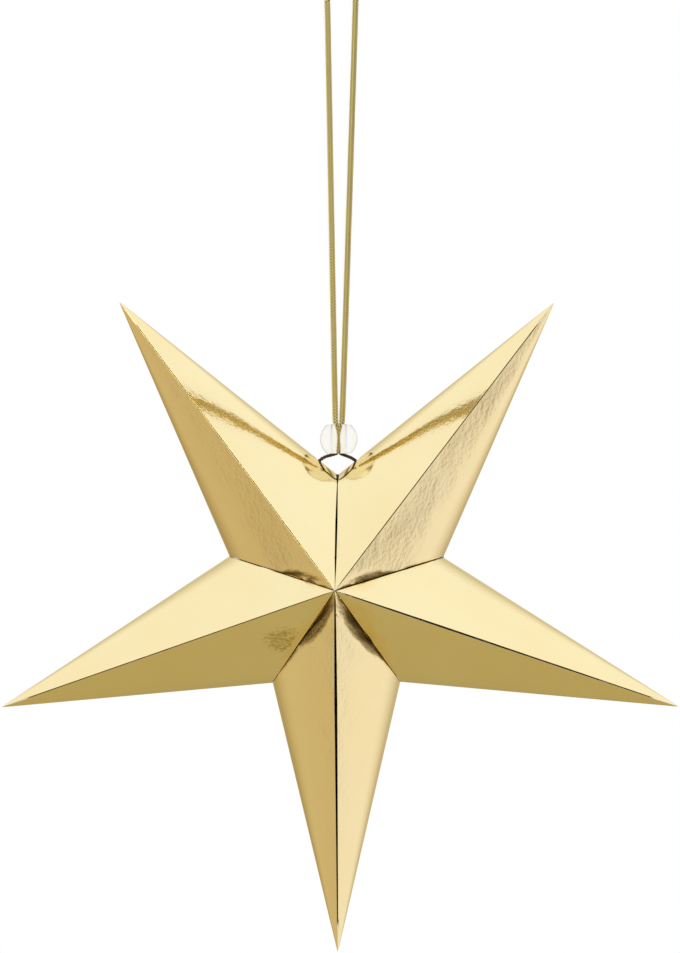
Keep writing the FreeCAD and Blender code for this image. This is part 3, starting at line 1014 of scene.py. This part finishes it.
BEHIND = (0.955, 0.985), [(0.0, BLACK), (1.0, WHITE)]


def ramp(tree, source, span, stops):
    """A colour that changes with one value, through stops between the span's two ends."""
    node = add_node(tree, "ShaderNodeValToRGB", Fac=between(tree, source, *span))
    ends = node.color_ramp.elements
    for end, (place, colour) in ((ends[0], stops[0]), (ends[1], stops[-1])):
        end.position, end.color = place, (*colour, 1)
    for place, colour in stops[1:-1]:
        node.color_ramp.elements.new(place).color = (*colour, 1)
    return node.outputs["Color"]


def build_room(world):
    """Gives the world its nodes: what each direction of the room shows to each kind of ray."""
    world.use_nodes = True
    tree = world.node_tree
    tree.nodes.clear()
    way = add_node(tree, "ShaderNodeTexCoord")
    parts = add_node(tree, "ShaderNodeSeparateXYZ", Vector=way.outputs["Generated"])
    x, y, z = (parts.outputs[k] for k in "XYZ")

    window = blend(tree, "MULTIPLY", ramp(tree, x, *WINDOW_BY_SIDE),
                   ramp(tree, z, *WINDOW_BY_HEIGHT))
    room = blend(tree, "ADD", ramp(tree, z, *BY_HEIGHT), window)
    room = blend(tree, "MULTIPLY", room, ramp(tree, y, *BY_DEPTH))
    low_room = blend(tree, "MULTIPLY", room, ramp(tree, y, *LOW_BY_DEPTH))
    room = blend(tree, "MIX", room, low_room, ramp(tree, z, *LOW))
    room = blend(tree, "MIX", room, WHITE, ramp(tree, y, *BEHIND))
    grey = add_node(tree, "ShaderNodeRGBToBW", Color=room)
    dull = blend(tree, "MULTIPLY", grey.outputs["Val"], (ROOM_DIFFUSE,) * 3)

    rays = add_node(tree, "ShaderNodeLightPath").outputs
    clear = compute(tree, "MAXIMUM", rays["Is Camera Ray"], rays["Is Transmission Ray"])
    unmirrored = compute(tree, "LESS_THAN", rays["Glossy Depth"], 0.5)
    straight = compute(tree, "MULTIPLY", clear, unmirrored)
    shown = blend(tree, "MIX", dull, room, rays["Is Glossy Ray"])
    shown = blend(tree, "MIX", shown, THROUGH_THE_BEAD, rays["Is Transmission Ray"])
    shown = blend(tree, "MIX", shown, WHITE, straight)
    light = add_node(tree, "ShaderNodeBackground", Color=shown)
    add_node(tree, "ShaderNodeOutputWorld", Surface=light.outputs["Background"])


room = bpy.context.scene.world or bpy.data.worlds.new("studio")
bpy.context.scene.world = room
build_room(room)


def add_softbox(name, place, size, watts, colour):
    """A square area lamp that faces the star."""
    to_star = STAR_CENTRE - Vector(place)
    bpy.ops.object.light_add(type="AREA", location=place,
                             rotation=to_star.to_track_quat("-Z", "Y").to_euler())
    lamp = bpy.context.object
    lamp.name = name
    lamp.data.size = size
    lamp.data.energy = watts
    lamp.data.color = colour
    lamp.visible_transmission = False


add_softbox("key_softbox", (-0.9, -1.6, 1.1), 1.8, 34.0, (1.0, 0.98, 0.95))

# %% [markdown]
# ## The floor
#
# The star hangs, so the floor is well below it and out of the photo. It is pale and plain, and it
# carries the star's soft shadow in the views from above.

# %% Lay the floor
bpy.ops.object.select_all(action="DESELECT")
bpy.ops.mesh.primitive_circle_add(vertices=96, radius=1.6, fill_type="NGON",
                                  location=(0, 0, -1.45))
floor = bpy.context.object
floor.name = "studio_floor"
floor_paint, tree, shader = new_finish("pale_floor")
where = add_node(tree, "ShaderNodeTexCoord").outputs["Object"]
cloudy = noise_pattern(tree, where, 1.5, 2.0)
tones = two_tones(tree, cloudy, (0.67, 0.635, 0.46), (0.69, 0.655, 0.48))
coat(tree, shader, Base_Color=tones, Roughness=0.7)
floor.data.materials.append(floor_paint)

# %% Set the view transform
bpy.context.scene.view_settings.view_transform = "Standard"
